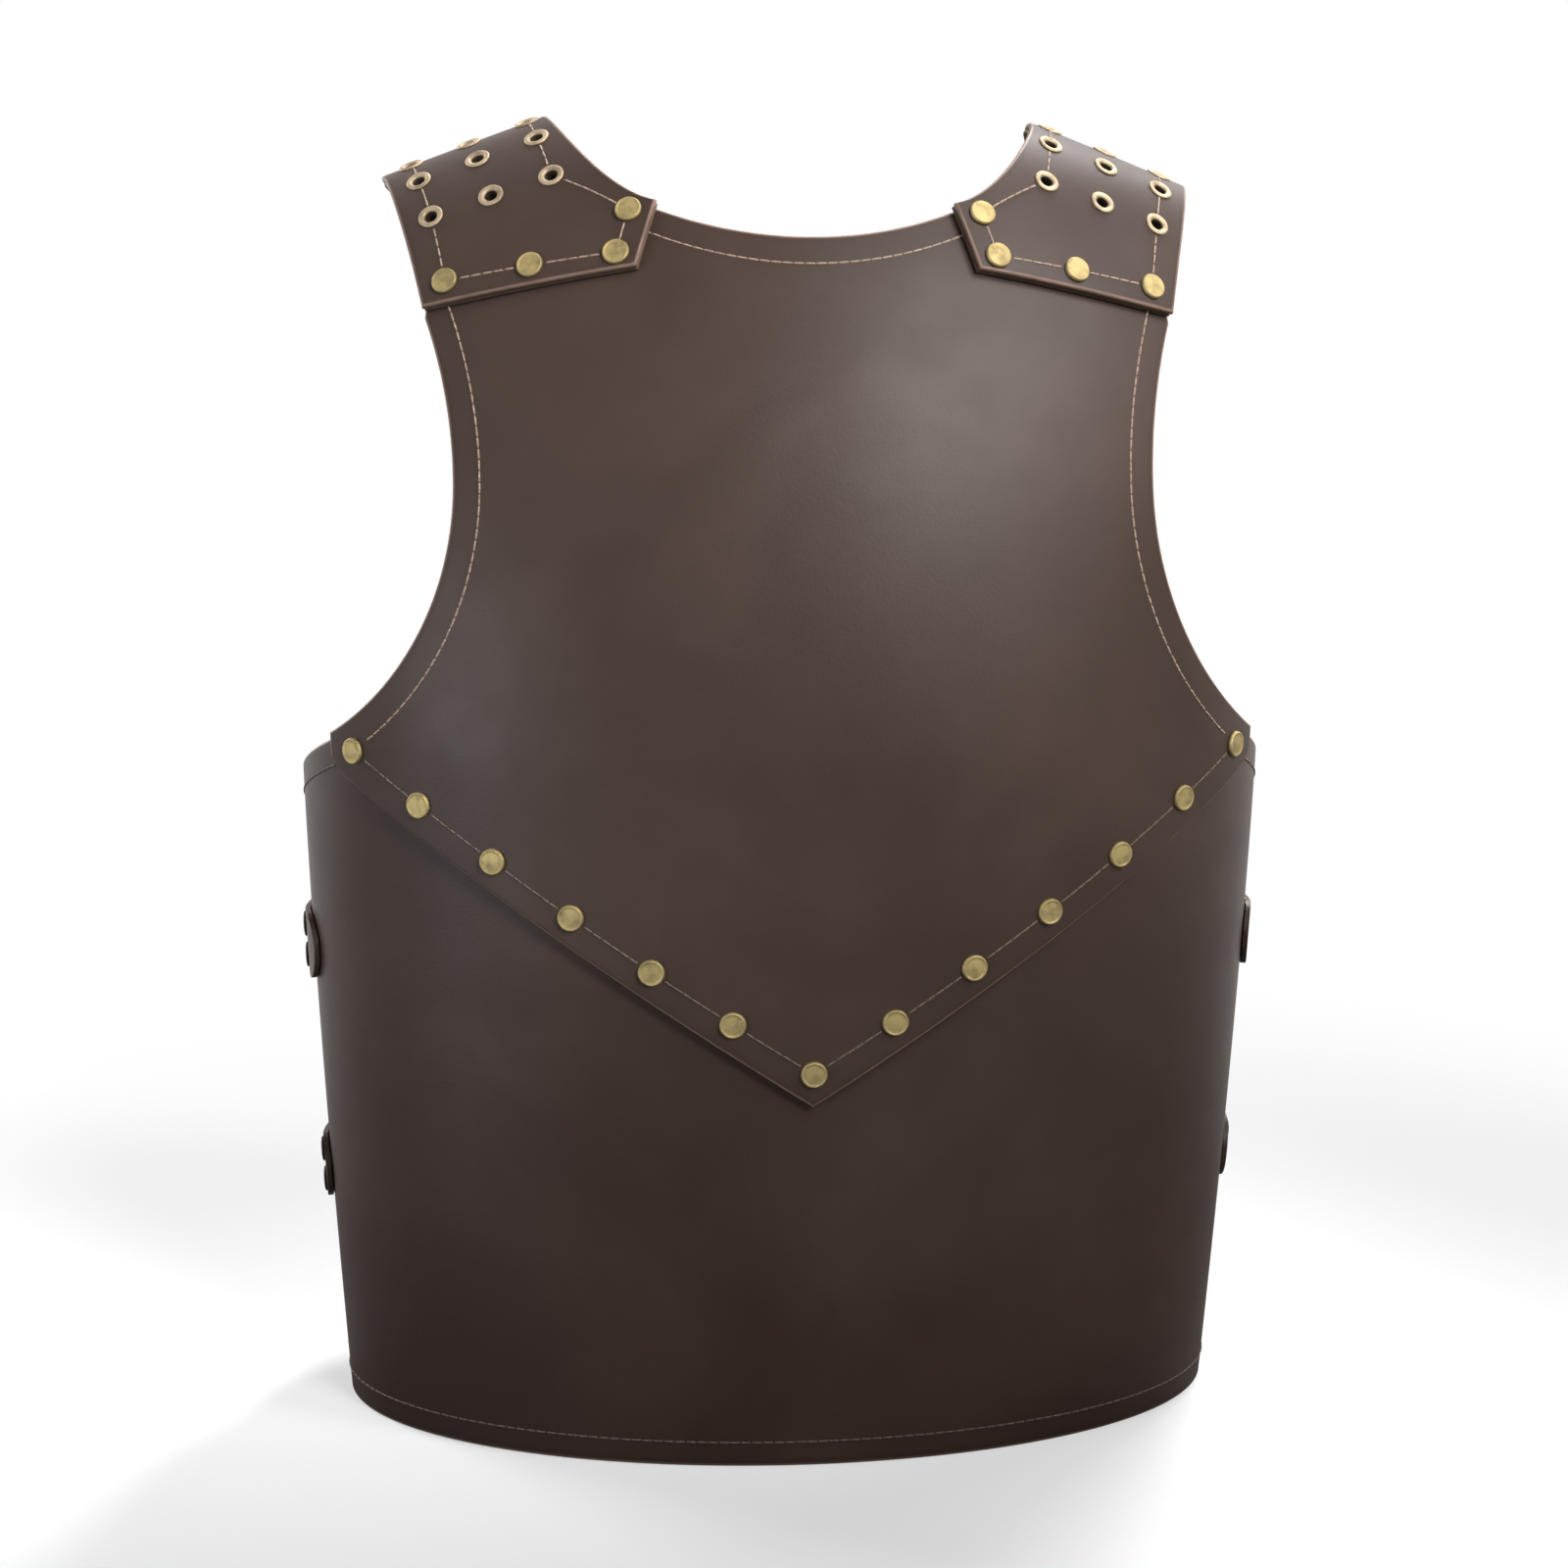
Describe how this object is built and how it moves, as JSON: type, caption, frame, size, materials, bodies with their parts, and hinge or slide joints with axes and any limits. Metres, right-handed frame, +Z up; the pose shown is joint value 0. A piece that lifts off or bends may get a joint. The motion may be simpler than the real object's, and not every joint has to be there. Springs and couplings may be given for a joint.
{
  "type": "leather breastplate",
  "caption": "Leather cuirass with a front of overlapping plates joined by a riveted V seam, a back plate, eyeleted shoulder pieces and buckled side straps.",
  "frame": {"origin": "middle of the overall bounding box in plan, on the plane of the hem", "axes": "+Z up the body, -Y the way the wearer faces, +X to the wearer's left"},
  "size_m": [0.3678, 0.2299, 0.4858],
  "materials": {
    "body_leather": "waxed, satin",
    "strap_leather": "waxed, satin",
    "lining": "matt, undressed",
    "brass": "aged, satin",
    "dark_brass": "blackened, satin"
  },
  "bodies": {
    "cuirass": {"chest_plate": "body_leather", "belly_plate": "body_leather", "back_plate": "body_leather", "v_rivets": "brass", "v_rivet_burrs": "brass", "shoulder_piece_left": "body_leather", "shoulder_piece_right": "body_leather", "shoulder_lining_left": "lining", "shoulder_lining_right": "lining", "shoulder_rivets_left": "brass", "shoulder_rivets_right": "brass", "shoulder_burrs_left": "brass", "shoulder_burrs_right": "brass", "eyelets_left": "brass", "eyelets_right": "brass", "billet_left_upper": "strap_leather", "billet_rivets_left_upper": "dark_brass", "chape_left_upper": "strap_leather", "chape_rivets_left_upper": "dark_brass", "billet_left_lower": "strap_leather", "billet_rivets_left_lower": "dark_brass", "chape_left_lower": "strap_leather", "chape_rivets_left_lower": "dark_brass", "billet_right_upper": "strap_leather", "billet_rivets_right_upper": "dark_brass", "chape_right_upper": "strap_leather", "chape_rivets_right_upper": "dark_brass", "billet_right_lower": "strap_leather", "billet_rivets_right_lower": "dark_brass", "chape_right_lower": "strap_leather", "chape_rivets_right_lower": "dark_brass", "strap_burrs": "brass"},
    "frame_left_upper": {"buckle_frame_left_upper": "brass"},
    "prong_left_upper": {"buckle_prong_left_upper": "brass"},
    "keeper_left_upper": {"keeper_left_upper": "strap_leather"},
    "frame_left_lower": {"buckle_frame_left_lower": "brass"},
    "prong_left_lower": {"buckle_prong_left_lower": "brass"},
    "keeper_left_lower": {"keeper_left_lower": "strap_leather"},
    "frame_right_upper": {"buckle_frame_right_upper": "brass"},
    "prong_right_upper": {"buckle_prong_right_upper": "brass"},
    "keeper_right_upper": {"keeper_right_upper": "strap_leather"},
    "frame_right_lower": {"buckle_frame_right_lower": "brass"},
    "prong_right_lower": {"buckle_prong_right_lower": "brass"},
    "keeper_right_lower": {"keeper_right_lower": "strap_leather"}
  },
  "joints": [
    {"name": "frame_hinge_left_upper", "type": "hinge", "parent": "cuirass", "child": "frame_left_upper", "pos_m": [0.16436, 0.05333, 0.17878], "axis": [0.0501, 0, 0.9987], "range_deg": [0, 6]},
    {"name": "prong_hinge_left_upper", "type": "hinge", "parent": "frame_left_upper", "child": "prong_left_upper", "pos_m": [0.16436, 0.05333, 0.17878], "axis": [0.0501, 0, 0.9987], "range_deg": [0, 8]},
    {"name": "keeper_slide_left_upper", "type": "slide", "parent": "cuirass", "child": "keeper_left_upper", "axis": [-0.7155, 0.6977, 0.0359], "range_m": [-0.003, 0.003]},
    {"name": "frame_hinge_left_lower", "type": "hinge", "parent": "cuirass", "child": "frame_left_lower", "pos_m": [0.15919, 0.05179, 0.09], "axis": [0.0645, 0, 0.9979], "range_deg": [0, 6]},
    {"name": "prong_hinge_left_lower", "type": "hinge", "parent": "frame_left_lower", "child": "prong_left_lower", "pos_m": [0.15919, 0.05179, 0.09], "axis": [0.0645, 0, 0.9979], "range_deg": [0, 8]},
    {"name": "keeper_slide_left_lower", "type": "slide", "parent": "cuirass", "child": "keeper_left_lower", "axis": [-0.7283, 0.6837, 0.0471], "range_m": [-0.003, 0.003]},
    {"name": "frame_hinge_right_upper", "type": "hinge", "parent": "cuirass", "child": "frame_right_upper", "pos_m": [-0.16436, 0.05333, 0.17878], "axis": [0.0501, 0, -0.9987], "range_deg": [0, 6]},
    {"name": "prong_hinge_right_upper", "type": "hinge", "parent": "frame_right_upper", "child": "prong_right_upper", "pos_m": [-0.16436, 0.05333, 0.17878], "axis": [0.0501, 0, -0.9987], "range_deg": [0, 8]},
    {"name": "keeper_slide_right_upper", "type": "slide", "parent": "cuirass", "child": "keeper_right_upper", "axis": [0.7155, 0.6977, 0.0359], "range_m": [-0.003, 0.003]},
    {"name": "frame_hinge_right_lower", "type": "hinge", "parent": "cuirass", "child": "frame_right_lower", "pos_m": [-0.15919, 0.05179, 0.09], "axis": [0.0645, 0, -0.9979], "range_deg": [0, 6]},
    {"name": "prong_hinge_right_lower", "type": "hinge", "parent": "frame_right_lower", "child": "prong_right_lower", "pos_m": [-0.15919, 0.05179, 0.09], "axis": [0.0645, 0, -0.9979], "range_deg": [0, 8]},
    {"name": "keeper_slide_right_lower", "type": "slide", "parent": "cuirass", "child": "keeper_right_lower", "axis": [0.7283, 0.6837, 0.0471], "range_m": [-0.003, 0.003]}
  ]
}
